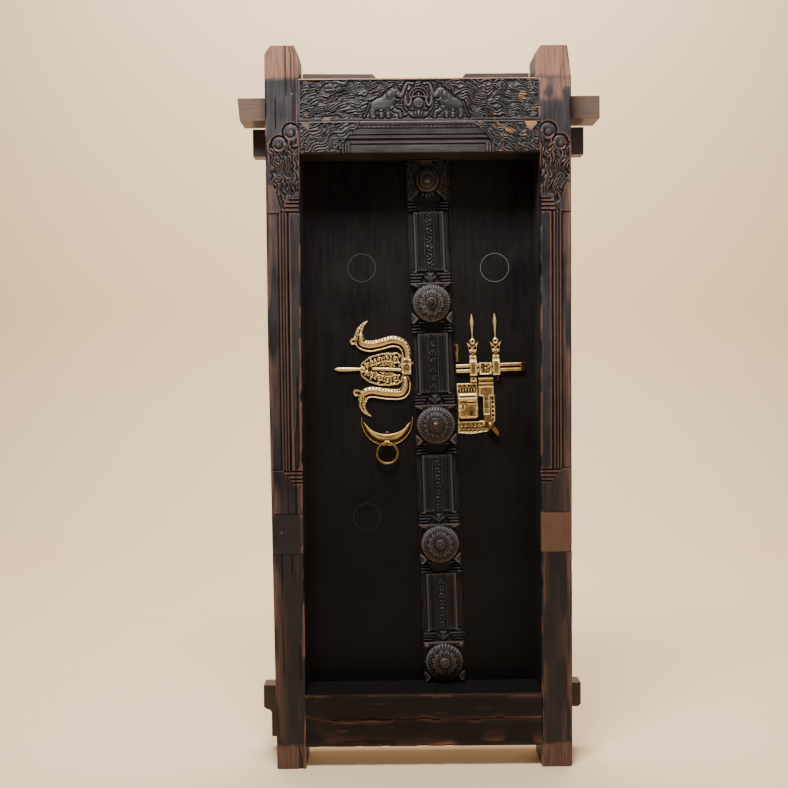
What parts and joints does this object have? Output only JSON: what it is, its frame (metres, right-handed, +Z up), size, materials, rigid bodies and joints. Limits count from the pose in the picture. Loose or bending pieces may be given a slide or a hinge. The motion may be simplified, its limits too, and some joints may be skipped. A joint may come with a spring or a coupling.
{
  "type": "carved temple door",
  "caption": "Carved wooden temple door in its own frame, with two inward-opening leaves on pivots, a bossed centre strip, and a brass lock set with a sliding bolt, hasp and pull ring.",
  "frame": {"origin": "floor level, centre of the door's outline in width and depth", "axes": "+Z up, +X to the right seen from the carved front, +Y into the building; the carved front faces -Y"},
  "size_m": [1.072, 0.215, 2.12],
  "materials": {
    "dark_wood": "near-black old hardwood, dull sheen, reddish-brown worn edges",
    "bare_wood": "bare brown wood, dry",
    "brass": "old cast and chased brass, rubbed bright on its high points",
    "iron": "old dark iron with worn bright tips"
  },
  "bodies": {
    "frame": {"left_post": "dark_wood", "right_post": "dark_wood", "frieze_board": "dark_wood", "lintel": "dark_wood", "threshold": "dark_wood", "sill_board": "dark_wood", "cross_beam": "bare_wood", "top_board": "dark_wood", "head_beam": "dark_wood", "sill_beam": "dark_wood", "left_patch": "dark_wood", "right_patch": "bare_wood", "frame_pegs": "dark_wood", "patch_nails": "iron"},
    "left_leaf": {"left_panel": "dark_wood", "left_ledge_1": "dark_wood", "left_ledge_2": "dark_wood", "left_ledge_3": "dark_wood", "centre_strip": "dark_wood", "boss_1": "dark_wood", "boss_2": "dark_wood", "boss_3": "dark_wood", "boss_4": "dark_wood", "boss_5": "dark_wood", "boss_stud_1": "iron", "boss_stud_2": "iron", "boss_stud_3": "iron", "boss_stud_4": "iron", "boss_stud_5": "iron", "filigree_plate": "brass", "spear_tongue": "brass", "hasp_end": "brass", "upper_serpent": "brass", "lower_serpent": "brass", "crescent_handle": "brass", "ring_staple": "brass", "left_rivets": "brass"},
    "right_leaf": {"right_panel": "dark_wood", "right_ledge_1": "dark_wood", "right_ledge_2": "dark_wood", "right_ledge_3": "dark_wood", "right_ledge_nails": "iron", "left_keeper": "brass", "right_keeper": "brass", "keeper_plate": "brass", "side_ear": "brass", "lock_frame": "brass", "lock_case": "brass", "lock_pin": "brass", "bolt_staple": "brass", "hasp_hinge": "brass", "hasp_pin": "brass", "hook": "brass", "right_nails": "brass"},
    "pull_ring": {"pull_ring": "brass"},
    "lock_bolt": {"lock_bolt": "brass"},
    "hasp": {"hasp": "brass"}
  },
  "joints": [
    {"name": "left_leaf_swing", "type": "hinge", "parent": "frame", "child": "left_leaf", "pos_m": [-0.357, 0.0615, 1], "axis": [0, 0, 1], "range_deg": [0, 100]},
    {"name": "right_leaf_swing", "type": "hinge", "parent": "frame", "child": "right_leaf", "pos_m": [0.357, 0.0615, 1], "axis": [0, 0, -1], "range_deg": [0, 100]},
    {"name": "pull_ring_swing", "type": "hinge", "parent": "left_leaf", "child": "pull_ring", "pos_m": [-0.102, 0.02635, 0.956], "axis": [-1, 0, 0], "range_deg": [0, 100]},
    {"name": "lock_bolt_slide", "type": "slide", "parent": "right_leaf", "child": "lock_bolt", "axis": [0.9996, 0, 0.0288], "range_m": [0, 0.026]},
    {"name": "hasp_swing", "type": "hinge", "parent": "right_leaf", "child": "hasp", "pos_m": [0.19993, 0.0335, 1.13278], "axis": [-0.9996, 0, -0.0288], "range_deg": [0, 120]}
  ]
}
